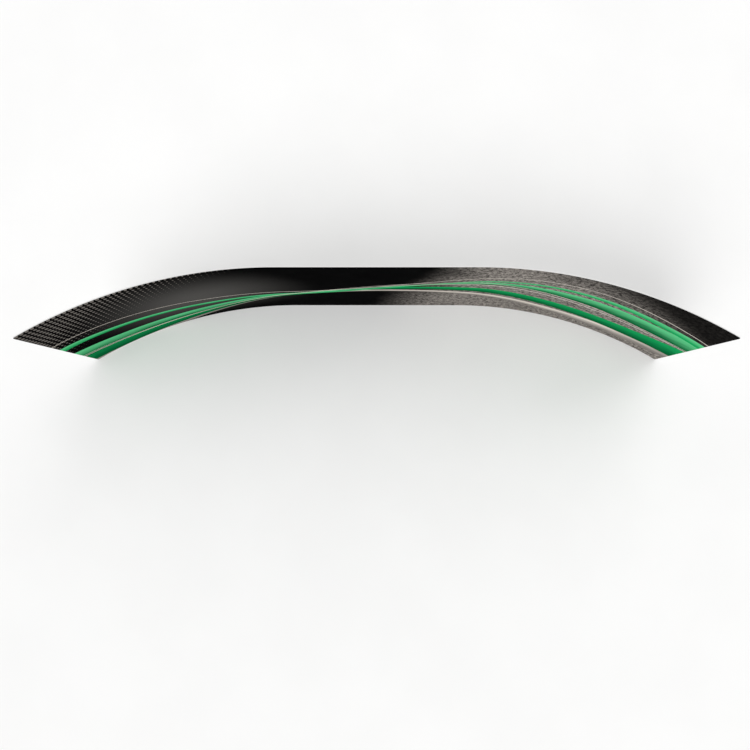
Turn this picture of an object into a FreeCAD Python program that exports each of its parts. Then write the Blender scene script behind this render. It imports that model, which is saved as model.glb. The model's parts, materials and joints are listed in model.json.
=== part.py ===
import FreeCAD, Part
import math
import os

# Curved tension-fabric exhibit wall: an aluminium tube frame inside a zipped stretch cover.
# Millimetres, +Z up, front towards -Y. The origin is on the floor, at the middle of the plan box.
# A place along the wall is given as a station: the distance from the middle along the rails' centre line.

# Wall
HEIGHT = 2337.0  # floor to the crown of the cover
CENTRE_LENGTH = 2515.0  # straight middle between the bends
WING_RADIUS = 6096.0  # plan radius of a wing on the rails' centre line
WING_ANGLE = 30.9  # degrees that a wing turns forward

# Tubes
RAIL_DIAMETER = 32.0  # rails and end uprights
INNER_UPRIGHT_DIAMETER = 25.0  # uprights that must not show through the print
TUBE_WALL = 1.5
FIT_GAP = 0.3  # radial play of a spigot in its tube

# Connectors
COLLAR_LENGTH = 40.0  # body of a tee, along the rail
NECK_LENGTH = 40.0  # rail centre line to the end of an upright
SPIGOT_LENGTH = 55.0
CONNECTOR_WALL = 3.0
BALL_PROUD = 0.2  # ball of a corner beyond the rail's face
KNOT_ROOM = 0.75  # height of a corner's bore above the knot's middle, as a share of the bore's radius

# Joint of an upright
JOINT_HEIGHT = 1170.0
SWAGE_LENGTH = 80.0  # reduced end that plugs into the lower tube
SWAGE_TAPER = 8.0
BUTTON_DROP = 40.0  # joint to button
BUTTON_DIAMETER = 6.0
BUTTON_PROUD = 3.0
BUTTON_FLANGE = 9.0
BUTTON_FLANGE_THICKNESS = 1.2
BUTTON_GAP = 0.3  # radial play of a button in its holes
LEAF_WIDTH = 5.0
LEAF_THICKNESS = 0.7
LEAF_DROP = 34.0  # button to the bend of its leaf spring
LEAF_TAIL = 7.0  # leaf spring beyond the button
LEAF_BEND = 2.5  # middle radius of the bend

# Shock cords
CORD_DIAMETER = 6.0
CORD_GAP = 0.5  # radial play in a corner connector
KNOT_DIAMETER = 12.0

# Cover
COVER_THICKNESS = 1.0
COVER_GAP = 0.9  # cover to rails
FLOOR_FLAT = 0.5  # depth that the frame's weight presses flat

# Zip
ZIP_HEIGHT = 62.0
ZIP_SETBACK = 40.0  # end upright to the end of the zip
TAPE_WIDTH = 12.0
COIL_WIDTH = 6.0
COIL_PROUD = 1.4
COIL_SETBACK = 12.0  # end of the zip to the end of the coil
STOP_LENGTH = 3.0
STOP_PROUD = 1.0
SLIDER_LENGTH = 22.0
SLIDER_HEAD = 4.0  # half of the slider's head, beyond its cheeks
SLIDER_OUTER = 1.6  # thickness of the outer blade
SLIDER_INNER = 1.0  # thickness of the inner blade
SLIDER_CHEEK = 1.5  # thickness of the cheeks beside the coil
SLIDER_GAP = 0.4
SLIDER_POST_LENGTH = 5.0
SLIDER_POST_WIDTH = 3.0
SLIDER_LEAD = 8.0  # slider beyond the end of the coil
PULL_BAR_DIAMETER = 2.4
PULL_BAR_LENGTH = 9.0
PULL_BAR_RISE = 3.0  # slider's face to the middle of the bar
PULL_FOOT = 2.0  # thickness of the bar's two feet
PULL_GAP = 0.2  # radial play of the pull on its bar
PULL_EYE_WALL = 1.2
PULL_EYE_LENGTH = 5.0
PULL_LENGTH = 32.0
PULL_WIDTH = 9.0
PULL_THICKNESS = 1.6
PULL_RIM = 2.4  # material around the pull's grip hole

FRONT = -1
BACK = 1
TOP = 1
BOTTOM = -1
V = FreeCAD.Vector
X_AXIS = V(1, 0, 0)
Y_AXIS = V(0, 1, 0)
Z_AXIS = V(0, 0, 1)

HALF_CENTRE = CENTRE_LENGTH / 2
WING_LENGTH = WING_RADIUS * math.radians(WING_ANGLE)
HALF_LINE = HALF_CENTRE + WING_LENGTH
LINE_Y = (WING_RADIUS * (1 - math.cos(math.radians(WING_ANGLE))) - COIL_PROUD) / 2
COVER_INSIDE = RAIL_DIAMETER / 2 + COVER_GAP
COVER_OUTSIDE = COVER_INSIDE + COVER_THICKNESS
BOTTOM_RAIL_Z = COVER_OUTSIDE - FLOOR_FLAT
TOP_RAIL_Z = HEIGHT - COVER_OUTSIDE
TAPE_LOW = ZIP_HEIGHT - COIL_WIDTH / 2 - TAPE_WIDTH
TAPE_HIGH = ZIP_HEIGHT + COIL_WIDTH / 2 + TAPE_WIDTH
ZIP_END = HALF_LINE - ZIP_SETBACK
COIL_END = ZIP_END - COIL_SETBACK
END_STATIONS = {"left_end": -HALF_LINE, "right_end": HALF_LINE}
INNER_STATIONS = {
    "left_wing": -HALF_CENTRE - WING_LENGTH / 2,
    "left_bend": -HALF_CENTRE,
    "centre": 0.0,
    "right_bend": HALF_CENTRE,
    "right_wing": HALF_CENTRE + WING_LENGTH / 2,
}
STATIONS = {**END_STATIONS, **INNER_STATIONS}
SPANS = ("left_outer", "left_inner", "centre_left", "centre_right", "right_inner", "right_outer")


def station(s):
    """Floor point of the wall's centre line at station s, and the line's heading there in degrees."""
    if abs(s) <= HALF_CENTRE:
        return V(s, LINE_Y, 0), 0.0
    side = math.copysign(1, s)
    turn = (abs(s) - HALF_CENTRE) / WING_RADIUS
    x = side * (HALF_CENTRE + WING_RADIUS * math.sin(turn))
    y = LINE_Y - WING_RADIUS * (1 - math.cos(turn))
    return V(x, y, 0), -side * math.degrees(turn)


def place(shape, s):
    """Copy of a shape drawn at the origin, with the wall running along X, moved to station s."""
    point, heading = station(s)
    moved = shape.copy()
    moved.rotate(V(), Z_AXIS, heading)
    moved.translate(point)
    return moved


def whole(shape):
    """The one solid of a shape that must not have fallen apart."""
    if len(shape.Solids) != 1 or not shape.isValid():
        raise ValueError("shape is not one sound solid")
    return shape.Solids[0]


def one(pieces):
    """Single solid of pieces that meet face to face or overlap."""
    return whole(pieces[0] if len(pieces) == 1 else pieces[0].multiFuse(pieces[1:]).removeSplitter())


def sweep(section, start, end):
    """Solids that a section, drawn across the wall at x = 0, leaves between two stations."""
    pieces = []
    for low, high in ((-HALF_LINE, -HALF_CENTRE), (-HALF_CENTRE, HALF_CENTRE), (HALF_CENTRE, HALF_LINE)):
        first, last = max(start, low), min(end, high)
        if last - first < COVER_THICKNESS / 1000:
            continue
        face = place(section, first)
        if low < 0 < high:
            pieces.append(face.extrude(X_AXIS * (last - first)))
            continue
        pivot = V(math.copysign(HALF_CENTRE, low + high), LINE_Y - WING_RADIUS, 0)
        pieces.append(face.revolve(pivot, Z_AXIS, -math.degrees((last - first) / WING_RADIUS)))
    return pieces


def disc(radius, z):
    """Round section of the wall's length at height z."""
    return Part.Face(Part.Wire(Part.makeCircle(radius, V(0, 0, z), X_AXIS)))


def rod(radius, z, start, end):
    """Solid bar along the wall between two stations."""
    return one(sweep(disc(radius, z), start, end))


def post(radius, low, high):
    """Solid bar along Z at the origin."""
    return Part.makeCylinder(radius, high - low, V(0, 0, low))


def spigot_radius(diameter):
    """Outside of a spigot or swaged end that plugs into a tube."""
    return diameter / 2 - TUBE_WALL - FIT_GAP


def upright_diameter(name):
    return RAIL_DIAMETER if name in END_STATIONS else INNER_UPRIGHT_DIAMETER


def set_upright(shape, name):
    """Copy of an upright's piece, drawn with its button along +X, moved to its station. The button faces
    along the wall to the middle, and on the centre upright it faces the back."""
    s = STATIONS[name]
    turned = shape.copy()
    turned.rotate(V(), Z_AXIS, 90 * (1 + (s > 0) - (s < 0)))
    return place(turned, s)


def rail_z(level):
    return TOP_RAIL_Z if level == TOP else BOTTOM_RAIL_Z


def rail_tube(level, start, end):
    """Rail tube between the connectors at two stations."""
    z = rail_z(level)
    ring = disc(RAIL_DIAMETER / 2, z).cut(disc(RAIL_DIAMETER / 2 - TUBE_WALL, z)).Faces[0]
    return one(sweep(ring, start + COLLAR_LENGTH / 2, end - COLLAR_LENGTH / 2))


def neck(level, radius, near, far):
    """Bar between two distances above the bottom rail's centre line or below the top rail's."""
    ends = [rail_z(level) - level * reach for reach in (near, far)]
    return post(radius, min(ends), max(ends))


def tee(level, s):
    """Connector with two spigots along the rail and one for an inner upright, hollow throughout."""
    z = rail_z(level)
    half = COLLAR_LENGTH / 2
    spigot = spigot_radius(RAIL_DIAMETER)
    branch = spigot_radius(INNER_UPRIGHT_DIAMETER)
    reach = NECK_LENGTH + SPIGOT_LENGTH
    body = one([
        rod(RAIL_DIAMETER / 2, z, s - half, s + half),
        rod(spigot, z, s - half - SPIGOT_LENGTH, s + half + SPIGOT_LENGTH),
        place(neck(level, INNER_UPRIGHT_DIAMETER / 2, 0, NECK_LENGTH), s),
        place(neck(level, branch, NECK_LENGTH / 2, reach), s),
    ])
    bore = rod(spigot - CONNECTOR_WALL, z, s - half - 2 * SPIGOT_LENGTH, s + half + 2 * SPIGOT_LENGTH)
    return whole(body.cut([bore, place(neck(level, branch - CONNECTOR_WALL, 0, 2 * reach), s)]))


def corner(level, s):
    """Ball-cornered connector at the end of a rail; the cord's knot sits in its upright bore."""
    z = rail_z(level)
    side = math.copysign(1, s)
    spigot = spigot_radius(RAIL_DIAMETER)
    bore = spigot - CONNECTOR_WALL
    face = COLLAR_LENGTH / 2
    reach = NECK_LENGTH + SPIGOT_LENGTH

    def along(radius, near, far):
        """Bar along the rail between two distances from the corner."""
        return rod(radius, z, min(s - side * near, s - side * far), max(s - side * near, s - side * far))

    body = one([
        place(Part.makeSphere(RAIL_DIAMETER / 2 + BALL_PROUD, V(0, 0, z)), s),
        along(RAIL_DIAMETER / 2, 0, face),
        along(spigot, face / 2, face + SPIGOT_LENGTH),
        place(neck(level, RAIL_DIAMETER / 2 - FIT_GAP, 0, NECK_LENGTH), s),
        place(neck(level, spigot, NECK_LENGTH / 2, reach), s),
    ])
    hollows = [
        along(bore, face, 2 * (face + SPIGOT_LENGTH)),
        along(CORD_DIAMETER / 2 + CORD_GAP, 0, 2 * face),
        place(neck(level, bore, -bore * KNOT_ROOM, 2 * reach), s),
    ]
    return whole(body.cut(hollows))


def cord(level):
    """Shock cord from knot to knot along a rail."""
    z = rail_z(level)
    bore = spigot_radius(RAIL_DIAMETER) - CONNECTOR_WALL
    knot = HALF_LINE - bore + KNOT_DIAMETER / 2 + FIT_GAP
    pieces = [rod(CORD_DIAMETER / 2, z, -knot, knot)]
    for s in (-knot, knot):
        pieces.append(place(Part.makeSphere(KNOT_DIAMETER / 2, V(0, 0, z)), s))
    return one(pieces)


def button_hole():
    """Cutter for the hole of a snap button in one side of an upright."""
    start = V(0, 0, JOINT_HEIGHT - BUTTON_DROP)
    return Part.makeCylinder(BUTTON_DIAMETER / 2 + BUTTON_GAP, RAIL_DIAMETER, start, X_AXIS)


def lower_upright(name):
    """Plain tube with a button hole near its open top."""
    radius = upright_diameter(name) / 2
    low = BOTTOM_RAIL_Z + NECK_LENGTH
    tube = post(radius, low, JOINT_HEIGHT).cut(post(radius - TUBE_WALL, low, JOINT_HEIGHT))
    return set_upright(whole(tube.cut(button_hole())), name)


def upper_upright(name):
    """Tube whose swaged lower end plugs into the lower upright and stands on its rim."""
    radius = upright_diameter(name) / 2
    plug = spigot_radius(upright_diameter(name))
    seat = radius - TUBE_WALL / 2
    end = TOP_RAIL_Z - NECK_LENGTH
    foot = JOINT_HEIGHT - SWAGE_LENGTH
    shoulder = JOINT_HEIGHT + SWAGE_TAPER
    profile = [
        V(plug - TUBE_WALL, 0, foot),
        V(plug, 0, foot),
        V(plug, 0, JOINT_HEIGHT),
        V(seat, 0, JOINT_HEIGHT),
        V(radius, 0, shoulder),
        V(radius, 0, end),
        V(radius - TUBE_WALL, 0, end),
        V(radius - TUBE_WALL, 0, shoulder),
        V(plug - TUBE_WALL, 0, JOINT_HEIGHT),
    ]
    tube = Part.Face(Part.makePolygon(profile + profile[:1])).revolve(V(), Z_AXIS, 360)
    return set_upright(whole(tube.cut(button_hole())), name)


def flange_face(name):
    """Local distance from an upright's middle to the outer face of its button's flange."""
    inside = spigot_radius(upright_diameter(name)) - TUBE_WALL
    return math.sqrt(inside ** 2 - (BUTTON_FLANGE / 2) ** 2) - BUTTON_GAP


def snap_button(name):
    """Domed button with the flange that keeps it in the upright."""
    z = JOINT_HEIGHT - BUTTON_DROP
    back = flange_face(name) - BUTTON_FLANGE_THICKNESS
    tip = upright_diameter(name) / 2 + BUTTON_PROUD
    dome = tip - BUTTON_DIAMETER / 2
    base = V(back, 0, z)
    button = one([
        Part.makeCylinder(BUTTON_FLANGE / 2, BUTTON_FLANGE_THICKNESS, base, X_AXIS),
        Part.makeCylinder(BUTTON_DIAMETER / 2, dome - back, base, X_AXIS),
        Part.makeSphere(BUTTON_DIAMETER / 2, V(dome, 0, z)),
    ])
    return set_upright(button, name)


def button_spring(name):
    """Leaf spring bent to a V, between the button's flange and the far wall of the upright."""
    z = JOINT_HEIGHT - BUTTON_DROP
    inside = spigot_radius(upright_diameter(name)) - TUBE_WALL
    near = flange_face(name) - BUTTON_FLANGE_THICKNESS - LEAF_THICKNESS / 2
    far = LEAF_THICKNESS / 2 - math.sqrt(inside ** 2 - (LEAF_WIDTH / 2) ** 2)
    middle = (near + far) / 2
    low = z - LEAF_DROP
    heel = z - BUTTON_FLANGE / 2
    points = [
        V(near, 0, z + LEAF_TAIL),
        V(near, 0, heel),
        V(middle + LEAF_BEND, 0, low),
        V(middle - LEAF_BEND, 0, low),
        V(far, 0, z + LEAF_TAIL),
    ]
    bend = Part.Arc(points[2], V(middle, 0, low - LEAF_BEND), points[3]).toShape()
    line = Part.Wire([
        Part.makeLine(points[0], points[1]),
        Part.makeLine(points[1], points[2]),
        bend,
        Part.makeLine(points[3], points[4]),
    ])
    strip = line.makeOffset2D(LEAF_THICKNESS / 2, 0, False, False)
    leaf = Part.Face(strip).extrude(Y_AXIS * LEAF_WIDTH)
    leaf.translate(Y_AXIS * (-LEAF_WIDTH / 2))
    return set_upright(leaf, name)


def cover_profile(side, low, high):
    """Section of the cover on the front or back of the wall between two heights, drawn at x = 0.
    At full height it goes over the top rail to the crown, and at the floor it goes under the bottom rail."""
    over = high >= HEIGHT
    under = low <= 0
    half = math.sqrt(0.5)
    edges = []
    ends = []
    for radius in (COVER_OUTSIDE, COVER_INSIDE):
        upper = V(0, side * radius, TOP_RAIL_Z if over else high)
        lower = V(0, side * radius, BOTTOM_RAIL_Z if under else low)
        edges.append(Part.makeLine(upper, lower))
        if over:
            crown = V(0, 0, TOP_RAIL_Z + radius)
            mid = V(0, side * radius * half, TOP_RAIL_Z + radius * half)
            edges.append(Part.Arc(crown, mid, upper).toShape())
            upper = crown
        if under:
            depth = min(radius, BOTTOM_RAIL_Z)
            reach = math.asin(depth / radius)
            mid = V(0, side * radius * math.cos(reach / 2), BOTTOM_RAIL_Z - radius * math.sin(reach / 2))
            edge = V(0, side * radius * math.cos(reach), BOTTOM_RAIL_Z - depth)
            edges.append(Part.Arc(lower, mid, edge).toShape())
            lower = V(0, 0, BOTTOM_RAIL_Z - depth)
            if depth < radius:
                edges.append(Part.makeLine(edge, lower))
        ends.append((upper, lower))
    (outer_top, outer_low), (inner_top, inner_low) = ends
    edges.append(Part.makeLine(outer_top, inner_top))
    edges.append(Part.makeLine(outer_low, inner_low))
    return Part.Face(Part.Wire(Part.__sortEdges__(edges)))


def cover_layer(side, low, high, start=-HALF_LINE, end=HALF_LINE):
    """Pieces of the cover between two heights and two stations, turned round an end upright where they reach it."""
    profile = cover_profile(side, low, high)
    pieces = sweep(profile, start, end)
    for s in (start, end):
        if s in END_STATIONS.values():
            turn = -side * math.copysign(90, s)
            pieces.append(place(profile, s).revolve(station(s)[0], Z_AXIS, turn))
    return pieces


def zip_coil():
    """Closed coil as a rounded bead between the tapes."""
    half = COIL_WIDTH / 2
    face = COVER_OUTSIDE + COIL_PROUD
    low, high = ZIP_HEIGHT - half, ZIP_HEIGHT + half
    points = [V(0, COVER_INSIDE, low), V(0, COVER_OUTSIDE, low), V(0, COVER_OUTSIDE, high), V(0, COVER_INSIDE, high)]
    round_face = Part.Arc(points[1], V(0, face, ZIP_HEIGHT), points[2]).toShape()
    sides = [Part.makeLine(points[0], points[1]), round_face, Part.makeLine(points[2], points[3]),
             Part.makeLine(points[3], points[0])]
    return one(sweep(Part.Face(Part.Wire(sides)), -COIL_END, COIL_END))


def zip_stop(s):
    """Metal stop that ties the tapes together at the end of the zip."""
    depth = COVER_THICKNESS + STOP_PROUD
    side = math.copysign(1, s)
    corner_at = V(-STOP_LENGTH / 2, COVER_INSIDE, ZIP_HEIGHT - COIL_WIDTH / 2)
    block = Part.makeBox(STOP_LENGTH, depth, COIL_WIDTH, corner_at)
    return place(block, s - side * STOP_LENGTH / 2)


def blade(side, y, thickness):
    """Shield-shaped blade of a slider, its wide head towards the end of the zip."""
    head = COIL_WIDTH / 2 + SLIDER_GAP + SLIDER_CHEEK + SLIDER_HEAD / 4
    tail = COIL_WIDTH / 2 + SLIDER_GAP + SLIDER_CHEEK
    lead = side * SLIDER_LEAD
    back = lead - side * SLIDER_LENGTH
    neck_x = lead - side * SLIDER_LENGTH * 0.45
    outline = [
        V(lead, y, -head * 0.6),
        V(lead - side * SLIDER_HEAD / 2, y, -head),
        V(neck_x, y, -tail),
        V(back, y, -tail),
        V(back, y, tail),
        V(neck_x, y, tail),
        V(lead - side * SLIDER_HEAD / 2, y, head),
        V(lead, y, head * 0.6),
    ]
    return Part.Face(Part.makePolygon(outline + outline[:1])).extrude(Y_AXIS * thickness)


def zip_slider(s):
    """Slider at the end of the coil: two blades on a post, cheeks beside the coil, and a bar for the pull."""
    side = math.copysign(1, s)
    coil_face = COVER_OUTSIDE + COIL_PROUD + SLIDER_GAP
    face = coil_face + SLIDER_OUTER
    inner = COVER_INSIDE - SLIDER_GAP - SLIDER_INNER
    cheek_z = COIL_WIDTH / 2 + SLIDER_GAP
    lead = side * SLIDER_LEAD
    tail = lead - side * SLIDER_LENGTH
    cheek_length = SLIDER_LENGTH * 0.55
    pieces = [blade(side, coil_face, SLIDER_OUTER), blade(side, inner, SLIDER_INNER)]
    post_near = lead - side * (SLIDER_HEAD / 2 + SLIDER_POST_LENGTH)
    pieces.append(Part.makeBox(
        SLIDER_POST_LENGTH, coil_face - inner, SLIDER_POST_WIDTH,
        V(min(post_near, post_near + side * SLIDER_POST_LENGTH), inner, -SLIDER_POST_WIDTH / 2)))
    for z in (-cheek_z - SLIDER_CHEEK, cheek_z):
        start = V(min(tail, tail + side * cheek_length), COVER_OUTSIDE + SLIDER_GAP, z)
        pieces.append(Part.makeBox(cheek_length, coil_face - start.y, SLIDER_CHEEK, start))
    middle = (lead + tail) / 2
    bar_y = face + PULL_BAR_RISE
    span = PULL_BAR_LENGTH + 2 * PULL_FOOT
    pieces.append(Part.makeCylinder(PULL_BAR_DIAMETER / 2, span, V(middle - span / 2, bar_y, 0), X_AXIS))
    for x in (middle - span / 2, middle + span / 2 - PULL_FOOT):
        foot = V(x, coil_face, -PULL_BAR_DIAMETER / 2)
        pieces.append(Part.makeBox(PULL_FOOT, bar_y - coil_face, PULL_BAR_DIAMETER, foot))
    slider = one(pieces)
    slider.translate(V(0, 0, ZIP_HEIGHT))
    return place(slider, s)


def zip_pull(s):
    """Pull that hangs from a slider's bar, with a grip hole."""
    side = math.copysign(1, s)
    bar_y = COVER_OUTSIDE + COIL_PROUD + SLIDER_GAP + SLIDER_OUTER + PULL_BAR_RISE
    middle = side * (SLIDER_LEAD - SLIDER_LENGTH / 2)
    bore = PULL_BAR_DIAMETER / 2 + PULL_GAP
    eye_start = V(middle - PULL_EYE_LENGTH / 2, bar_y, 0)
    y = bar_y - PULL_THICKNESS / 2
    half = PULL_WIDTH / 2
    low = half - PULL_LENGTH
    shoulder = -PULL_LENGTH / 3
    plate = [
        V(middle - PULL_EYE_LENGTH / 2, y, 0),
        V(middle - half, y, shoulder),
        V(middle - half, y, low),
        V(middle + half, y, low),
        V(middle + half, y, shoulder),
        V(middle + PULL_EYE_LENGTH / 2, y, 0),
    ]
    end = Part.Arc(plate[2], V(middle, y, low - half), plate[3]).toShape()
    lines = [Part.makeLine(a, b) for a, b in ((plate[0], plate[1]), (plate[1], plate[2]))]
    lines += [end]
    lines += [Part.makeLine(a, b) for a, b in ((plate[3], plate[4]), (plate[4], plate[5]), (plate[5], plate[0]))]
    tab = Part.Face(Part.Wire(lines)).extrude(Y_AXIS * PULL_THICKNESS)
    grip = half - PULL_RIM
    hole = one([
        Part.makeCylinder(grip, PULL_THICKNESS, V(middle, y, low), Y_AXIS),
        Part.makeCylinder(grip, PULL_THICKNESS, V(middle, y, shoulder), Y_AXIS),
        Part.makeBox(2 * grip, PULL_THICKNESS, shoulder - low, V(middle - grip, y, low)),
    ])
    eye = Part.makeCylinder(bore + PULL_EYE_WALL, PULL_EYE_LENGTH, eye_start, X_AXIS)
    clear = Part.makeCylinder(bore, PULL_WIDTH, V(middle - half, bar_y, 0), X_AXIS)
    pull = whole(one([tab.cut(hole), eye]).cut(clear))
    pull.translate(V(0, 0, ZIP_HEIGHT))
    return place(pull, s)


def build():
    """Every node of the wall by name."""
    nodes = {}
    places = sorted(STATIONS.values())
    for level, word in ((TOP, "top"), (BOTTOM, "bottom")):
        for span, start, end in zip(SPANS, places, places[1:]):
            nodes[f"{word}_rail_{span}"] = rail_tube(level, start, end)
        for name, s in INNER_STATIONS.items():
            nodes[f"{word}_tee_{name}"] = tee(level, s)
        for name, s in END_STATIONS.items():
            nodes[f"{word}_corner_{name}"] = corner(level, s)
        nodes[f"{word}_shock_cord"] = cord(level)
    for name in STATIONS:
        nodes[f"lower_upright_{name}"] = lower_upright(name)
        nodes[f"upper_upright_{name}"] = upper_upright(name)
        nodes[f"snap_button_{name}"] = snap_button(name)
    nodes["snap_button_springs"] = Part.makeCompound([button_spring(name) for name in STATIONS])

    coil_low, coil_high = ZIP_HEIGHT - COIL_WIDTH / 2, ZIP_HEIGHT + COIL_WIDTH / 2
    nodes["front_panel"] = one(cover_layer(FRONT, 0, HEIGHT) + cover_layer(BACK, 0, TAPE_LOW))
    nodes["back_panel"] = one(
        cover_layer(BACK, TAPE_HIGH, HEIGHT)
        + cover_layer(BACK, TAPE_LOW, TAPE_HIGH, -HALF_LINE, -ZIP_END)
        + cover_layer(BACK, TAPE_LOW, TAPE_HIGH, ZIP_END, HALF_LINE)
    )
    nodes["zip_tape_lower"] = one(cover_layer(BACK, TAPE_LOW, coil_low, -ZIP_END, ZIP_END))
    nodes["zip_tape_upper"] = one(cover_layer(BACK, coil_high, TAPE_HIGH, -ZIP_END, ZIP_END))
    nodes["zip_coil"] = zip_coil()
    nodes["zip_stops"] = Part.makeCompound([zip_stop(-ZIP_END), zip_stop(ZIP_END)])
    for word, s in (("left", -COIL_END), ("right", COIL_END)):
        nodes[f"zip_slider_{word}"] = zip_slider(s)
        nodes[f"zip_pull_{word}"] = zip_pull(s)
    return nodes


os.makedirs("parts", exist_ok=True)
for node, shape in build().items():
    shape.exportStep(f"parts/{node}.step")
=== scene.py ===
import json
import math
from contextlib import contextmanager

import bpy
import numpy as np
from bpy.props import FloatProperty, FloatVectorProperty, PointerProperty
from bpy.types import Operator, Panel, PropertyGroup
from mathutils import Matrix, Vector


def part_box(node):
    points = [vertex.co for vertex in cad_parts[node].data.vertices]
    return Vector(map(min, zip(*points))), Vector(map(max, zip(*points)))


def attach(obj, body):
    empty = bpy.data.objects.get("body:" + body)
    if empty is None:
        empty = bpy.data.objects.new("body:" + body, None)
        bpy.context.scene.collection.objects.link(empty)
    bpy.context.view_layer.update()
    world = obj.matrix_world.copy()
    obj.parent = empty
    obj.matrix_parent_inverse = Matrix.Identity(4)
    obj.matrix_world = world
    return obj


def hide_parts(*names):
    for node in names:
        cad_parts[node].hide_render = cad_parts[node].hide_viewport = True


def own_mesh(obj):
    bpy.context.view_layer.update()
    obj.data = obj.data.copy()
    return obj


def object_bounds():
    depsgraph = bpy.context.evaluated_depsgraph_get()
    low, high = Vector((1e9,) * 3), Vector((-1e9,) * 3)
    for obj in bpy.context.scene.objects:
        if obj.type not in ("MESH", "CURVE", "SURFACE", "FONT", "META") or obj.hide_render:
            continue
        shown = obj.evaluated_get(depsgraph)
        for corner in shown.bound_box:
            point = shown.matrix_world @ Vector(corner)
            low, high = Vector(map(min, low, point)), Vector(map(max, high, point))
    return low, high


bl_info = {
    "name": "Curved Fabric Exhibit Wall",
    "version": (1, 0, 0),
    "blender": (4, 5, 0),
    "location": "View3D > Sidebar > Fabric Wall",
    "description": "Dresses a curved tension-fabric exhibit wall: printed cover, zip and frame finishes",
    "category": "Object",
}

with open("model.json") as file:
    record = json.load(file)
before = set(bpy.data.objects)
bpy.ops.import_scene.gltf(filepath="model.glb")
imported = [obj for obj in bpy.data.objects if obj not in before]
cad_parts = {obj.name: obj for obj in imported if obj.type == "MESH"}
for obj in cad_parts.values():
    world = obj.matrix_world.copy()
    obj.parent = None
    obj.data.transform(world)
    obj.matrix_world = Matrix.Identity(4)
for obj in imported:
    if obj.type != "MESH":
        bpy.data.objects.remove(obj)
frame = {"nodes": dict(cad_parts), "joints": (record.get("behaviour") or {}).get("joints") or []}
CAD_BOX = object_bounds()
MM = 0.001
WELD = 0.02 * MM  # points of a new mesh that are closer than this are one
CAD_WELD = 0.005 * MM  # the same for a copy of a CAD piece
CREASE = math.radians(40)  # faces that meet at more than this keep a sharp edge

# Cloth
KNIT_LOOP = 0.9 * MM  # width of a loop of the stretch knit
FACE_ROWS = 54  # rows of mesh on the flat of a panel
SEAM_DEPTH = 0.8 * MM  # valley where the front and back panels are sewn together
SEAM_WIDTH = 1.8 * MM
RIDGE_ROUND = 0.03  # rounding of the ridge over an upright, as a share of the hollow beside it
FOLD_HEIGHT = 1.5 * MM  # faint folds that fan out from the wall's corners
FOLD_REACH = 0.28  # corner to the highest part of its folds, in metres
FOLD_COUNT = 11
HEM_FOLD = 0.4 * MM  # extra thickness of a folded hem
HEM_OVERLAP = 6 * MM  # hem over the zip tape
HEM_ROWS = (0, 2.5 * MM, 5 * MM, 6.5 * MM)  # rows from the edge of a hem: three on its fold, one past it
STITCH_INSET = 2.6 * MM  # edge of a hem to its stitches
STITCH_SECTION = (0.3 * MM, 0.34 * MM)  # half of a stitch's depth and height

# Zip
ZIP_MOUTH = 4 * MM  # opening of the cloth beyond each end of the zip
TAPE_OVERRUN = 12 * MM  # tapes beyond the ends of the zip, under the cloth
TAPE_THICKNESS = 0.5 * MM
TAPE_DEPTH = 0.2 * MM  # inside of the cloth to the tape
TAPE_BEAD = 0.4 * MM  # height of the bead that the coil is sewn to
TAPE_PITCH = 30 * MM  # length of a column of a tape's mesh
STOP_LENGTH = 3 * MM  # metal stop at each end of the zip
COIL_OVERLAP = 0.9 * MM  # loops of one side past the middle of the closed zip
LOOP_FILL = 0.46  # thickness of a loop, as a share of the coil's pitch
LOOP_OVAL = 1.15  # its depth, as a share of its thickness
LOOP_PROUD = 0.35 * MM  # middle of its tip beyond the cloth
LOOP_SLANT = 0.55 * MM  # its foot lies this much deeper than its tip
LOOP_TIP = 0.8  # share of its length at which its tip starts to narrow
LOOP_TAPER = 0.35  # narrowing of its tip
SHORTEST_ROUNDED = 0.3 * MM  # shorter edges of the metal pieces stay sharp
SLIVER = 0.002 * MM  # edges of the metal pieces that are shorter than this are dropped

# Frame
KNOT_INSET = 0.6 * MM  # end of a shock cord's knot before the middle of the end upright
CORD_SIDES = 12
CORD_RINGS = 240  # between the knots
KNOT_LUMP = 0.07  # unevenness of a knot, as a share of its thickness

# Print: what shapes a ribbon, and the value of each where none is given
RIBBON = {"Height": 1.0, "Slope": 0.1, "Swing": 0.3, "Length": 6.0, "Phase": 0.0, "Width": 0.2, "Pinch": 0.5,
          "Fan": 0.0, "Softness": 0.03}

# Stage
FLOOR_SIZE = 120
FLOOR_DROP = 0.8 * MM  # floor below the foot of the wall, so that the two never share a plane
SURROUND_SEEN = 0.93  # brightness of the surround to the camera and in reflections


# Sizes and colours

def length(name, description, default):
    return FloatProperty(name=name, description=description, default=default, unit="LENGTH")


def degrees(name, description, default):
    return FloatProperty(name=name, description=description, default=math.radians(default), subtype="ANGLE")


def colour(name, description, default):
    return FloatVectorProperty(name=name, description=description, default=default, size=3,
                               min=0, max=1, subtype="COLOR")


def middle_of(name, axis):
    """Middle of a CAD piece along an axis."""
    return sum(getattr(corner, axis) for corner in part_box(name)) / 2


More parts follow.
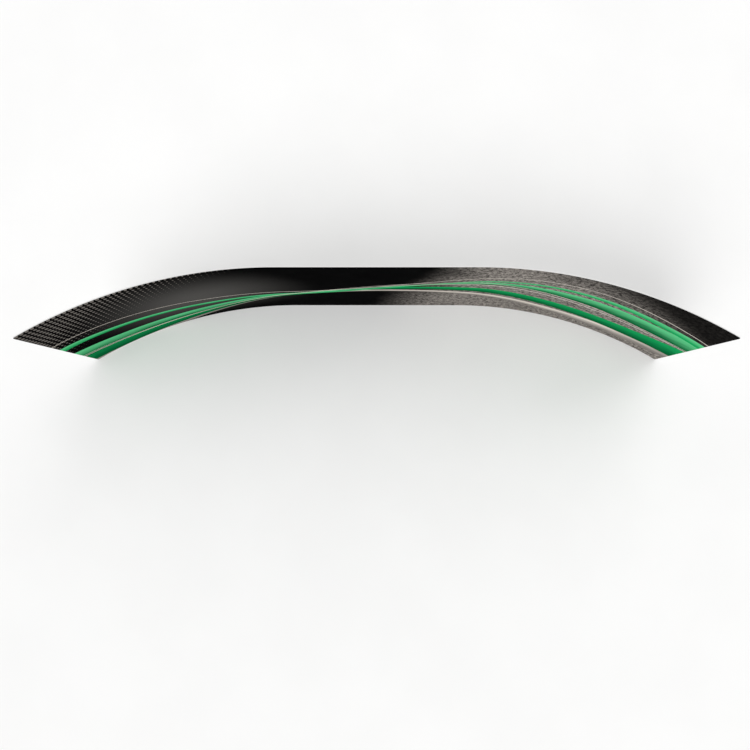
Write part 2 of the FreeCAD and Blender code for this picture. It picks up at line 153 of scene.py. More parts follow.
class WallSizes(PropertyGroup):
    """Sizes of the wall, as the frame was drawn, and of its cloth."""
    height: length("Height", "Floor to the crown of the cover", CAD_BOX[1].z)
    centre_length: length("Centre length", "Straight middle between the bends", 2.515)
    wing_radius: length("Wing radius", "Plan radius of a wing on the rails' centre line", 6.096)
    wing_angle: degrees("Wing angle", "Angle that a wing turns forward", 30.9)
    line_y: length("Line depth", "Place of the straight middle behind the origin",
                   middle_of("top_rail_centre_left", "y"))
    cover_radius: length("Cover radius", "Rail's middle to the outside of the cover", 17.9 * MM)
    floor_flat: length("Floor flat", "Depth that the weight presses flat", 0.5 * MM)
    cloth_thickness: length("Cloth thickness", "Thickness of the stretch knit", 0.6 * MM)
    cloth_pitch: length("Cloth pitch", "Width of a column of the cloth's mesh", 19 * MM)
    front_pull: length("Front pull", "How far tension draws a wing's front forward at mid height", 12 * MM)
    back_pull: length("Back pull", "How far the back is drawn in between two uprights of a wing", 8 * MM)
    upright_room: length("Upright room", "How far the back is drawn in before it meets an upright", 3.4 * MM)


class ZipSizes(PropertyGroup):
    """Sizes of the zip along the foot of the back."""
    height: length("Height", "Floor to the middle of the coil", 62 * MM)
    setback: length("Setback", "End upright to the end of the zip", 40 * MM)
    coil_setback: length("Coil setback", "End of the zip to the end of the coil", 12 * MM)
    coil_width: length("Coil width", "Width of the closed coil", 6 * MM)
    coil_pitch: length("Coil pitch", "Distance between two loops of one side", 2.5 * MM)
    tape_width: length("Tape width", "Width of one tape beside the coil", 12 * MM)
    stitch_pitch: length("Stitch pitch", "Distance between two stitches of a hem", 4 * MM)
    edge_round: length("Edge rounding", "Rounding of the metal pieces", 0.25 * MM)


class WallColours(PropertyGroup):
    """Colours of the print, the cloth and the hardware."""
    ground: colour("Ground", "Ground of the print", (0.0007, 0.0007, 0.0008))
    halo: colour("Halo", "Soft glow on the ground", (0.085, 0.082, 0.078))
    deep_green: colour("Deep green", "Shaded side of the ribbons", (0.0, 0.105, 0.03))
    emerald: colour("Emerald", "Body of the ribbons", (0.008, 0.33, 0.095))
    mint: colour("Mint", "Lit edge of the ribbons", (0.11, 0.56, 0.24))
    stone: colour("Stone", "Speckled field", (0.20, 0.183, 0.167))
    stone_dark: colour("Dark stone", "Streaks in the speckled field", (0.026, 0.024, 0.023))
    chalk: colour("Chalk", "Thin lines of the print", (0.74, 0.68, 0.61))
    back_white: colour("Back", "Back of the cover", (0.80, 0.80, 0.79))
    tape_white: colour("Zip tape", "Tapes and coil of the zip", (0.76, 0.76, 0.75))
    nickel: colour("Nickel", "Sliders, pulls and stops", (0.62, 0.60, 0.57))
    aluminium: colour("Aluminium", "Anodised tubes", (0.68, 0.69, 0.70))
    nylon: colour("Nylon", "Moulded connectors", (0.017, 0.017, 0.018))
    steel: colour("Steel", "Snap buttons and their springs", (0.56, 0.56, 0.57))
    cord_sheath: colour("Cord", "Braided sheath of the shock cords", (0.03, 0.03, 0.032))


class StageSettings(PropertyGroup):
    """Floor, light and camera."""
    floor_colour: colour("Floor", "Colour of the floor", (0.93, 0.93, 0.925))
    ambient: FloatProperty(name="Ambient", description="Strength of the light from all round", default=0.6)
    key: FloatProperty(name="Key", description="Strength of the soft light from the front left", default=1.35)
    fill: FloatProperty(name="Fill", description="Strength of the soft light from the back right",
                        default=0.8)
    lens: FloatProperty(name="Lens", description="Focal length in millimetres on a 36 mm sensor",
                        default=30.229)
    camera_height: length("Camera height", "Camera above the floor", 9.8895)
    camera_ahead: length("Camera ahead", "Camera in front of the straight middle", 1.9404)
    camera_tilt: degrees("Camera tilt", "Camera's angle from straight down", 4.6925)
    camera_shift: FloatProperty(name="Camera shift", description="Sideways shift of the frame",
                                default=-0.00222)


# The wall's line

class Wall:
    """Places along the wall: a station is the distance from its middle along the rails' centre line."""

    def __init__(self, scene):
        self.sizes = sizes = scene.wall_sizes
        self.zip = scene.zip_sizes
        self.radius = sizes.cover_radius
        self.half_centre = sizes.centre_length / 2
        self.wing_length = sizes.wing_radius * sizes.wing_angle
        self.half_line = self.half_centre + self.wing_length
        self.cloth_width = 2 * self.half_line + math.pi * self.radius
        self.low_rail = sizes.cover_radius - sizes.floor_flat
        self.high_rail = sizes.height - sizes.cover_radius
        self.zip_end = self.half_line - self.zip.setback
        self.coil_end = self.zip_end - self.zip.coil_setback
        self.loops = int(2 * self.coil_end / self.zip.coil_pitch)

    def line(self, station):
        """Plan points of the centre line and the direction along it, as arrays."""
        turn = np.maximum(np.abs(station) - self.half_centre, 0) / self.sizes.wing_radius
        side = np.sign(station)
        x = np.clip(station, -self.half_centre, self.half_centre)
        x = x + side * self.sizes.wing_radius * np.sin(turn)
        y = self.sizes.line_y - self.sizes.wing_radius * (1 - np.cos(turn))
        return x, y, np.cos(turn), -side * np.sin(turn)

    def place(self, station, across, z):
        """Points at stations, distances behind the centre line and heights."""
        x, y, along_x, along_y = self.line(station)
        return np.stack([x - across * along_y, y + across * along_x, z + 0 * x], axis=-1)

    def zip_stretches(self):
        """Stretches of the zip, as (word, joint, loops before it, loops in it). Those on the wings span a
        slider's run."""
        run = next(joint for joint in frame["joints"] if joint["name"] == "run_left_slider")["range_deg"][1]
        wing = math.ceil(self.sizes.wing_radius * math.radians(run) / self.zip.coil_pitch)
        return (("left", "run_left_slider", 0, wing), ("middle", None, wing, self.loops - 2 * wing),
                ("right", "run_right_slider", self.loops - wing, wing))

    def loop_station(self, loop):
        """Place along the wall at which a loop of the coil starts."""
        return (loop - self.loops / 2) * self.zip.coil_pitch

    def part_zip(self, piece):
        """Gives a piece on a slider's stretch a mesh of its own."""
        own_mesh(piece)

    def wing_share(self, station):
        """Place along a wing, from 0 at the bend to 1 at the end; 0 in the straight middle."""
        return np.clip((np.abs(station) - self.half_centre) / self.wing_length, 0, 1)


def smooth_step(low, high, value):
    t = np.clip((value - low) / (high - low), 0, 1)
    return t * t * (3 - 2 * t)


# Modelling helpers

def deselect():
    if bpy.context.object and bpy.context.object.mode != "OBJECT":
        bpy.ops.object.mode_set(mode="OBJECT")
    bpy.ops.object.select_all(action="DESELECT")


def make_active(piece):
    deselect()
    piece.select_set(True)
    bpy.context.view_layer.objects.active = piece


@contextmanager
def edit_mode(piece):
    """Edit mode on a piece, with all of it selected."""
    make_active(piece)
    bpy.ops.object.mode_set(mode="EDIT")
    bpy.ops.mesh.select_all(action="SELECT")
    yield
    bpy.ops.object.mode_set(mode="OBJECT")


def numbers_of(elements, name, width=1):
    """Whole numbers that the elements of a mesh hold under a name."""
    values = np.empty(len(elements) * width, dtype=np.int32)
    elements.foreach_get(name, values)
    return values.reshape(-1, width) if width > 1 else values


def points_of(piece):
    points = np.empty(len(piece.data.vertices) * 3)
    piece.data.vertices.foreach_get("co", points)
    return points.reshape(-1, 3)


def set_points(piece, points):
    piece.data.vertices.foreach_set("co", np.asarray(points, dtype=np.float32).ravel())
    piece.data.update()


def set_cut(piece, cut):
    """Gives each vertex its place on the flat cloth, in metres, as the UV map Cut."""
    mesh = piece.data
    while mesh.uv_layers:
        mesh.uv_layers.remove(mesh.uv_layers[0])
    layer = mesh.uv_layers.new(name="Cut")
    corners = numbers_of(mesh.loops, "vertex_index")
    layer.uv.foreach_set("vector", np.asarray(cut, dtype=np.float32)[corners].ravel())


def flat_grid(name, columns, rows):
    """Grid with a vertex for each column and row, and each vertex's column and row."""
    deselect()
    bpy.ops.mesh.primitive_grid_add(x_subdivisions=columns - 1, y_subdivisions=rows - 1, size=2)
    piece = bpy.context.object
    piece.name = piece.data.name = name
    points = points_of(piece)
    column = np.rint((points[:, 0] + 1) / 2 * (columns - 1)).astype(int)
    row = np.rint((points[:, 1] + 1) / 2 * (rows - 1)).astype(int)
    return piece, column, row


def merge_points(piece, distance):
    with edit_mode(piece):
        bpy.ops.mesh.remove_doubles(threshold=distance)


def face_outwards(piece):
    with edit_mode(piece):
        bpy.ops.mesh.normals_make_consistent(inside=False)


def apply_modifier(piece, kind, **settings):
    make_active(piece)
    bpy.ops.object.modifier_add(type=kind)
    modifier = piece.modifiers[-1]
    for key, value in settings.items():
        setattr(modifier, key, value)
    bpy.ops.object.modifier_apply(modifier=modifier.name)


def outer_edges(piece):
    """Which edges of a closed piece stand out, and not in, and how long each edge is."""
    mesh = piece.data
    ends = numbers_of(mesh.edges, "vertices", 2)
    first, last = points_of(piece)[ends].transpose(1, 0, 2)
    along = last - first
    faces = np.repeat(np.arange(len(mesh.polygons)), numbers_of(mesh.polygons, "loop_total"))
    corners = np.argsort(numbers_of(mesh.loops, "edge_index"), kind="stable").reshape(-1, 2)
    normals = np.empty(len(mesh.polygons) * 3)
    mesh.polygons.foreach_get("normal", normals)
    left, right = normals.reshape(-1, 3)[faces[corners]].transpose(1, 0, 2)
    ahead = np.where(numbers_of(mesh.loops, "vertex_index")[corners[:, 0]] == ends[:, 0], 1, -1)
    return ahead * (np.cross(left, right) * along).sum(axis=1) > 0, np.linalg.norm(along, axis=1)


def round_edges(piece, width, shortest):
    """Rounds the sharp outer edges of a piece that are at least so long."""
    with edit_mode(piece):
        bpy.ops.mesh.select_mode(type="EDGE")
        bpy.ops.mesh.select_all(action="DESELECT")
        bpy.ops.mesh.edges_select_sharp(sharpness=math.radians(35))
    mesh = piece.data
    outer, lengths = outer_edges(piece)
    sharp = np.empty(len(mesh.edges), dtype=bool)
    mesh.edges.foreach_get("select", sharp)
    for elements in (mesh.vertices, mesh.polygons):
        elements.foreach_set("select", np.zeros(len(elements), dtype=bool))
    mesh.edges.foreach_set("select", sharp & outer & (lengths >= shortest))
    bpy.ops.object.mode_set(mode="EDIT")
    bpy.ops.mesh.bevel(offset=width, segments=2, clamp_overlap=False)
    bpy.ops.object.mode_set(mode="OBJECT")


def thicken(piece, thickness):
    """Gives a cloth its thickness, inwards from its outer face."""
    apply_modifier(piece, "SOLIDIFY", thickness=thickness, offset=-1, use_even_offset=False)


def shade(piece, angle=None):
    """Smooth shading, all over or up to an angle between faces."""
    make_active(piece)
    if angle is None:
        bpy.ops.object.shade_smooth()
    else:
        bpy.ops.object.shade_smooth_by_angle(angle=angle)


def lay_along(piece, wall):
    """Bends a piece that was drawn straight, X along the wall and Y to the back, onto the wall's line."""
    points = points_of(piece)
    set_points(piece, wall.place(points[:, 0], points[:, 1], points[:, 2]))


def finish_piece(piece, body, slot, material, *nodes):
    """Gives a piece its material and body; it stands in for the CAD nodes named. The slot is not used."""
    piece.data.materials.clear()
    piece.data.materials.append(material)
    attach(piece, body)
    if nodes:
        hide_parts(*nodes)


def finish_node(name, material):
    """Gives a piece of the frame its finish."""
    node = frame["nodes"][name]
    node.data.materials.clear()
    node.data.materials.append(material)


# Cover

def cover_columns(wall, extra=()):
    """Stations of the cloth's columns, and the angle that each is turned round an end upright."""
    count = int(2 * wall.half_line / wall.sizes.cloth_pitch)
    stations = np.union1d(np.linspace(-wall.half_line, wall.half_line, count + 1), np.array(extra))
    turns = np.radians([18, 36, 54, 70, 82, 87, 90])
    ends = np.full(len(turns), wall.half_line)
    station = np.concatenate([-ends, stations, ends])
    turn = np.concatenate([turns[::-1], np.zeros(len(stations)), turns])
    return station, turn


def face_heights(wall):
    """Heights of the rows on the flat of a panel, closer near the rails."""
    span = wall.high_rail - wall.low_rail
    share = np.linspace(0, 1, FACE_ROWS)
    eased = share - 0.11 * np.sin(2 * math.pi * share)
    return wall.low_rail + span * eased[1:-1]


def crown_angles():
    """Angles from the crown down to the face of a panel, closer at the seam."""
    return np.radians([0, 3, 8, 18, 34, 52, 71, 90])


def front_profile(wall):
    """Rows of the front panel from the hem behind the foot, under the bottom rail and up to the crown.
    Each is (reach to the back, reach up, height of its middle), with the reaches in radii of the cover."""
    low, high, radius = wall.low_rail, wall.high_rail, wall.radius
    hem = wall.zip.height - wall.zip.coil_width / 2 - wall.zip.tape_width + HEM_OVERLAP
    rows = [(1, 0, hem - drop) for drop in (*HEM_ROWS, 15 * MM)]
    rows += [(1, 0, low + 8 * MM)]
    under = np.linspace(0, math.asin(low / radius), 6)
    rows += [(math.cos(a), -math.sin(a), low) for a in under]
    rows += [(0, -low / radius, low)]
    rows += [(-math.cos(a), -math.sin(a), low) for a in under[::-1]]
    rows += [(-1, 0, z) for z in face_heights(wall)]
    rows += [(-math.sin(a), math.cos(a), high) for a in crown_angles()[::-1]]
    return np.array(rows)


def back_profile(wall):
    """Rows of the back panel from the crown down to its hem over the zip, and to the foot beside the zip."""
    hem = wall.zip.height + wall.zip.coil_width / 2 + wall.zip.tape_width - HEM_OVERLAP
    foot = wall.zip.height - wall.zip.coil_width / 2 - wall.zip.tape_width + HEM_OVERLAP
    rows = [(math.sin(a), math.cos(a), wall.high_rail) for a in crown_angles()]
    rows += [(1, 0, z) for z in face_heights(wall)[::-1] if z > hem + 12 * MM]
    rows += [(1, 0, hem + lift) for lift in HEM_ROWS[::-1]]
    rows += [(1, 0, hem + (foot - hem) * share) for share in (0.35, 0.7, 1)]
    return np.array(rows)


def corner_folds(wall, station, z):
    """Faint tension folds that fan out from the wall's four corners."""
    inset = np.maximum(wall.half_line - np.abs(station), 0)
    folds = np.zeros_like(z)
    for lift, phase in ((z - wall.low_rail, 0.4), (wall.high_rail - z, 1.9)):
        lift = np.maximum(lift, 0)
        reach = np.hypot(inset, lift)
        fan = np.arctan2(lift, inset + 1e-6)
        rise = reach / FOLD_REACH * np.exp(1 - reach / FOLD_REACH)
        edge = smooth_step(0, 0.12, np.minimum(inset, lift))
        folds += FOLD_HEIGHT * rise * edge * np.sin(FOLD_COUNT * fan + phase + np.sign(station))
    return folds


def face_share(wall, profile_row):
    """0 at the rails and 1 at mid height, for rows on the flat of a panel."""
    share = np.clip((profile_row[:, 2] - wall.low_rail) / (wall.high_rail - wall.low_rail), 0, 1)
    return np.where(np.abs(profile_row[:, 0]) == 1, 4 * share * (1 - share), 0)


def front_draw(wall, station, profile_row):
    """How far tension and folds move the front from the frame, forwards."""
    wing = wall.wing_share(station)
    draw = wall.sizes.front_pull * smooth_step(0, 0.4, wing) * smooth_step(0, 0.25, 1 - wing)
    lift = face_share(wall, profile_row) * (profile_row[:, 0] < 0)
    return draw * lift + corner_folds(wall, station, profile_row[:, 2]) * smooth_step(0, 0.15, lift)


def back_draw(wall, station, profile_row):
    """How far the back is drawn in on a wing: it touches the uprights and hollows between them."""
    wing = wall.wing_share(station)
    between = np.hypot(np.sin(math.pi * wing * 2), RIDGE_ROUND) - RIDGE_ROUND
    held = wall.sizes.upright_room * smooth_step(0, 0.3, wing) * smooth_step(0, 0.25, 1 - wing)
    draw = held + (wall.sizes.back_pull - wall.sizes.upright_room) * between
    lift = face_share(wall, profile_row)
    return corner_folds(wall, station, profile_row[:, 2]) * smooth_step(0, 0.15, lift) - draw * lift


def wrap_cloth(piece, wall, station, turn, profile_row, draw):
    """Puts a cloth on the wall: round the end uprights by turn, off the frame by draw, in at the seams."""
    back, up, middle = profile_row.T
    crown = wall.radius * np.arccos(np.clip(up, -1, 1))
    tip = wall.radius * (math.pi / 2 - turn) + np.maximum(wall.half_line - np.abs(station), 0)
    seam = SEAM_DEPTH * np.exp(-(np.minimum(crown, tip) / SEAM_WIDTH) ** 2)
    reach = wall.radius + draw - seam
    across = back * reach
    points = wall.place(station, across * np.cos(turn), middle + up * reach)
    _, _, along_x, along_y = wall.line(station)
    outward = np.abs(across) * np.sin(turn) * np.sign(station)
    points[:, 0] += outward * along_x
    points[:, 1] += outward * along_y
    set_points(piece, points)


def cut_places(wall, station, turn, profile, row):
    """Flat place of each vertex on its cloth, along the wall and up from the floor, and the flat height of
    the cloth, all in metres."""
    reach = profile[:, :2] * wall.radius
    points = np.column_stack([reach[:, 0], profile[:, 2] + reach[:, 1]])
    run = np.concatenate([[0], np.cumsum(np.hypot(*np.diff(points, axis=0).T))])
    face = np.flatnonzero((np.abs(profile[:, 0]) == 1) & (profile[:, 2] > wall.sizes.height / 2))[0]
    rising = profile[-1, 2] > profile[0, 2]
    up = run - run[face] if rising else run[face] - run
    up = up + profile[face, 2]
    along = station + np.sign(station) * wall.radius * turn
    return np.column_stack([along, up[row]]), run[-1]


def frame_names(*parts):
    """Names of the CAD pieces that hold one of these words."""
    return [name for name in frame["nodes"] if any(part in name for part in parts)]


class FABRICWALL_OT_front_panel(Operator):
    """Stretch the printed cloth over the front, under the bottom rail and up to the zip"""
    bl_idname = "fabric_wall.front_panel"
    bl_label = "Printed Front Panel"

    def execute(self, context):
        wall = Wall(context.scene)
        station, turn = cover_columns(wall)
        profile = front_profile(wall)
        piece, column, row = flat_grid("printed_front_panel", len(station), len(profile))
        at, bend, on = station[column], turn[column], profile[row]
        cut, run = cut_places(wall, at, bend, profile, row)
        draw = front_draw(wall, at, on)
        draw[row < 3] += HEM_FOLD
        wrap_cloth(piece, wall, at, bend, on, draw)
        set_cut(piece, cut)
        merge_points(piece, WELD)
        thicken(piece, wall.sizes.cloth_thickness)
        shade(piece)
        material = printed_cloth(context.scene.wall_colours)
        finish_piece(piece, "wall", "printed_fabric", material, "front_panel")
        return {"FINISHED"}


class FABRICWALL_OT_back_panel(Operator):
    """Stretch the white cloth over the back, from the crown seam to the zip"""
    bl_idname = "fabric_wall.back_panel"
    bl_label = "White Back Panel"

    def execute(self, context):
        wall = Wall(context.scene)
        mouth = wall.zip_end + ZIP_MOUTH
        station, turn = cover_columns(wall, (-mouth, mouth))
        profile = back_profile(wall)
        piece, column, row = flat_grid("white_back_panel", len(station), len(profile))
        at, bend, on = station[column], turn[column], profile[row]
        cut, run = cut_places(wall, at, bend, profile, row)
        draw = back_draw(wall, at, on)
        hem_row = len(profile) - 4  # edge of the hem; the rows past it are beside the zip
        draw[(row <= hem_row) & (row > hem_row - 3)] += HEM_FOLD
        wrap_cloth(piece, wall, at, bend, on, draw)
        set_cut(piece, cut)
        self.open_for_zip(piece, at, row, mouth, hem_row)
        merge_points(piece, WELD)
        thicken(piece, wall.sizes.cloth_thickness)
        shade(piece)
        material = white_cloth(context.scene.wall_colours)
        finish_piece(piece, "wall", "white_fabric", material, "back_panel")
        return {"FINISHED"}

    @staticmethod
    def open_for_zip(piece, station, row, mouth, hem_row):
        """Removes the cloth below the hem between the ends of the zip."""
        with edit_mode(piece):
            bpy.ops.mesh.select_mode(type="FACE")
        inside = (np.abs(station) <= mouth + 1e-6) & (row >= hem_row)
        faces = numbers_of(piece.data.polygons, "vertices", 4)
        piece.data.polygons.foreach_set("select", inside[faces].all(axis=1))
        bpy.ops.object.mode_set(mode="EDIT")
        bpy.ops.mesh.delete(type="FACE")
        bpy.ops.object.mode_set(mode="OBJECT")


# Zip

class FABRICWALL_OT_zip_tapes(Operator):
    """Weave the two zip tapes that the hems are sewn to"""
    bl_idname = "fabric_wall.zip_tapes"
    bl_label = "Zip Tapes"

    def execute(self, context):
        wall = Wall(context.scene)
        material = tape_weave(context.scene.wall_colours)
        half = wall.zip.coil_width / 2
        # from the middle outwards: the edge under the coil, the bead, the flat tape
        profile = np.array([
            (0.05 * MM, 0), (half - 1.4 * MM, 0), (half - 0.7 * MM, TAPE_BEAD), (half, TAPE_BEAD),
            (half + 0.8 * MM, 0), (half + 6 * MM, 0), (half + wall.zip.tape_width, 0),
        ])
        for word, side in (("lower", -1), ("upper", 1)):
            out, lift = profile[::-side].T
            for stretch, joint, start, stop in self.stretches(wall):
                station = np.linspace(start, stop, int((stop - start) / TAPE_PITCH) + 2)
                piece, column, row = flat_grid(f"zip_tape_{word}_{stretch}", len(station), len(out))
                across = wall.radius - wall.sizes.cloth_thickness - TAPE_DEPTH + lift
                set_points(piece, wall.place(station[column], across[row], wall.zip.height + side * out[row]))
                set_cut(piece, np.column_stack([station[column], side * out[row]]))
                thicken(piece, TAPE_THICKNESS)
                shade(piece, CREASE)
                finish_piece(piece, "wall", "zip_tape", material, f"zip_tape_{word}")
                if joint:
                    wall.part_zip(piece)
        return {"FINISHED"}

    @staticmethod
    def stretches(wall):
        """Stretches of a tape, as (word, joint, start, stop): its tied ends and the stretches of the coil."""
        end, tied = wall.zip_end + TAPE_OVERRUN, wall.zip_end - STOP_LENGTH
        left, middle, right = wall.zip_stretches()
        left_split, right_split = wall.loop_station(middle[2]), wall.loop_station(right[2])
        return (("left_end", None, -end, -tied), ("left", left[1], -tied, left_split),
                ("middle", None, left_split, right_split), ("right", right[1], right_split, tied),
                ("right_end", None, tied, end))


class FABRICWALL_OT_zip_coil(Operator):
    """Wind the coil: loops of both sides in turn, in stretches along each wing and the middle"""
    bl_idname = "fabric_wall.zip_coil"
    bl_label = "Zip Coil"

    def execute(self, context):
        wall = Wall(context.scene)
        pitch = wall.zip.coil_pitch
        material = coil_nylon(context.scene.wall_colours)
        for word, side in (("lower", -1), ("upper", 1)):
            for stretch, joint, first, count in wall.zip_stretches():
                piece = self.loop(wall, side)
                piece.name = piece.data.name = f"zip_coil_{word}_{stretch}"
                points = points_of(piece)
                points[:, 0] += wall.loop_station(first) + pitch * (0.25 if side < 0 else 0.75)
                set_points(piece, points)
                apply_modifier(piece, "ARRAY", count=count, use_relative_offset=False,
                               use_constant_offset=True, constant_offset_displace=(pitch, 0, 0))
                lay_along(piece, wall)
                shade(piece, math.radians(50))
                finish_piece(piece, "wall", "zip_coil", material, "zip_coil")
                if joint:
                    wall.part_zip(piece)
        return {"FINISHED"}

    @staticmethod
    def loop(wall, side):
        """One loop of the coil: a bar that rises from its tape to a narrow tip just past the middle."""
        half = wall.zip.coil_width / 2
        reach = half + COIL_OVERLAP
        deselect()
        bpy.ops.mesh.primitive_cylinder_add(vertices=6, radius=0.5 * wall.zip.coil_pitch * LOOP_FILL,
                                            depth=reach, end_fill_type="NGON")
        piece = bpy.context.object
        with edit_mode(piece):
            bpy.ops.mesh.bisect(plane_co=(0, 0, reach * (LOOP_TIP - 0.5)), plane_no=(0, 0, 1))
        points = points_of(piece)
        share = points[:, 2] / reach + 0.5  # 0 at the tape, 1 past the middle
        points[:, 1] *= LOOP_OVAL
        points[:, 1] += wall.radius + LOOP_PROUD - LOOP_SLANT * (1 - share)
        points[:, :2] -= (points[:, :2] - points[:, :2].mean(axis=0)) * (share[:, None] > 0.99) * LOOP_TAPER
        points[:, 2] = wall.zip.height + side * (half - share * reach)
        set_points(piece, points)
        face_outwards(piece)
        return piece


class FABRICWALL_OT_hem_stitches(Operator):
    """Sew a row of stitches along each hem beside the zip"""
    bl_idname = "fabric_wall.hem_stitches"
    bl_label = "Hem Stitches"

    def execute(self, context):
        wall = Wall(context.scene)
        pitch = wall.zip.stitch_pitch
        half = wall.zip.coil_width / 2 + wall.zip.tape_width - HEM_OVERLAP + STITCH_INSET
        for word, side, material in (("lower", -1, dark_thread(context.scene.wall_colours)),
                                     ("upper", 1, pale_thread(context.scene.wall_colours))):
            deselect()
            bpy.ops.mesh.primitive_ico_sphere_add(subdivisions=1, radius=1)
            piece = bpy.context.object
            piece.name = piece.data.name = f"hem_stitches_{word}"
            points = points_of(piece) * np.array([pitch * 0.42, *STITCH_SECTION])
            points[:, 2] += points[:, 0] * 0.06
            first = (-wall.zip_end + pitch / 2, wall.radius + HEM_FOLD, wall.zip.height + side * half)
            points += np.array(first)
            set_points(piece, points)
            apply_modifier(piece, "ARRAY", count=int(2 * wall.zip_end / pitch), use_relative_offset=False,
                           use_constant_offset=True, constant_offset_displace=(pitch, 0, 0))
            if side > 0:
                points = points_of(piece)
                on = np.array([(1, 0, wall.zip.height + half)] * len(points))
                points[:, 1] += back_draw(wall, points[:, 0], on)
                set_points(piece, points)
            lay_along(piece, wall)
            shade(piece)
            finish_piece(piece, "wall", "printed_fabric" if side < 0 else "white_fabric", material)
        return {"FINISHED"}


class FABRICWALL_OT_zip_metal(Operator):
    """Round the edges of the sliders, pulls and stops and plate them with nickel"""
    bl_idname = "fabric_wall.zip_metal"
    bl_label = "Zip Sliders, Pulls and Stops"

    def execute(self, context):
        wall = Wall(context.scene)
        material = plated_nickel(context.scene.wall_colours)
        for name in ("zip_slider_left", "zip_slider_right", "zip_pull_left", "zip_pull_right", "zip_stops"):
            source = frame["nodes"][name]
            piece = bpy.data.objects.new(f"{name}_rounded", source.data.copy())
            context.scene.collection.objects.link(piece)
            merge_points(piece, CAD_WELD)
            with edit_mode(piece):
                bpy.ops.mesh.dissolve_limited(angle_limit=math.radians(2))
            round_edges(piece, wall.zip.edge_round, SHORTEST_ROUNDED)
            with edit_mode(piece):
                bpy.ops.mesh.dissolve_degenerate(threshold=SLIVER)
            shade(piece, CREASE)
            apply_modifier(piece, "WEIGHTED_NORMAL", keep_sharp=True)
            body = "wall" if name == "zip_stops" else name
            finish_piece(piece, body, "zip_metal", material, name)
        return {"FINISHED"}


# Frame

class FABRICWALL_OT_shock_cords(Operator):
    """Braid the shock cords inside the rails, with a knot at each end"""
    bl_idname = "fabric_wall.shock_cords"
    bl_label = "Shock Cords"

    def execute(self, context):
        wall = Wall(context.scene)
        material = braided_cord(context.scene.wall_colours)
        for word, height in (("top", wall.high_rail), ("bottom", wall.low_rail)):
            low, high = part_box(f"{word}_shock_cord")
            knot = (high.z - low.z) / 2
            end = wall.half_line - KNOT_INSET
            swell = knot * (1 - np.cos(np.linspace(0, math.pi, 13)[:-2]))  # rings of a knot, from its tip
            run = np.linspace(-end + 2.1 * knot, end - 2.1 * knot, CORD_RINGS)
            station = np.concatenate([swell - end, run, end - swell[::-1]])
            near = np.minimum(np.abs(station + end - knot), np.abs(station - end + knot)) / knot
            thick = np.where(near < 1, knot * np.sqrt(np.maximum(1 - near ** 2, 0)), 0)
            thick = np.maximum(thick, np.where(np.abs(station) < end - knot, knot / 2, 0))
            piece, column, row = flat_grid(f"{word}_shock_cord_braid", len(station), CORD_SIDES + 1)
            around = row / CORD_SIDES * 2 * math.pi
            lump = 1 + KNOT_LUMP * np.sin(3 * around + station[column] / knot * 2) * (near[column] < 1)
            across = np.cos(around) * thick[column] * lump
            z = height + np.sin(around) * thick[column] * lump
            set_points(piece, wall.place(station[column], across, z))
            set_cut(piece, np.column_stack([station[column], around]))
            merge_points(piece, WELD)
            face_outwards(piece)
            shade(piece)
            finish_piece(piece, "wall", "shock_cord", material, f"{word}_shock_cord")
        return {"FINISHED"}


class FABRICWALL_OT_snap_joints(Operator):
    """Finish the snap buttons and part their leaf springs, one for each button"""
    bl_idname = "fabric_wall.snap_joints"
    bl_label = "Snap Buttons and Springs"

    def execute(self, context):
        material = spring_steel(context.scene.wall_colours)
        presses = [joint for joint in frame["joints"] if joint["name"].startswith("press_")]
        for joint in presses:
            finish_node(joint["child"], material)
        whole = bpy.data.objects.new("snap_springs", frame["nodes"]["snap_button_springs"].data.copy())
        context.scene.collection.objects.link(whole)
        merge_points(whole, CAD_WELD)
        bpy.ops.mesh.separate(type="LOOSE")
        for piece in list(context.selected_objects):
            points = points_of(piece)
            middle = points[:, 0].mean()
            joint = min(presses, key=lambda press: abs(middle - middle_of(press["child"], "x")))
            piece.name = piece.data.name = joint["name"].replace("press_", "snap_spring_")
            shade(piece, CREASE)
            finish_piece(piece, "wall", "spring_steel", material, "snap_button_springs")
            reach = points @ np.array(joint["axis"])  # the leaf that the button pushes has the least
            points[reach.argmax()].tolist()
            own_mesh(piece)
        return {"FINISHED"}


class FABRICWALL_OT_frame_finishes(Operator):
    """Give the tubes and connectors their finishes"""
    bl_idname = "fabric_wall.frame_finishes"
    bl_label = "Frame Finishes"

    def execute(self, context):
        colours = context.scene.wall_colours
        finishes = {
            anodised_tube(colours): frame_names("_rail_", "_upright_"),
            moulded_nylon(colours): frame_names("_tee_", "_corner_"),
        }
        for material, names in finishes.items():
            for name in names:
                finish_node(name, material)
        return {"FINISHED"}


# Materials

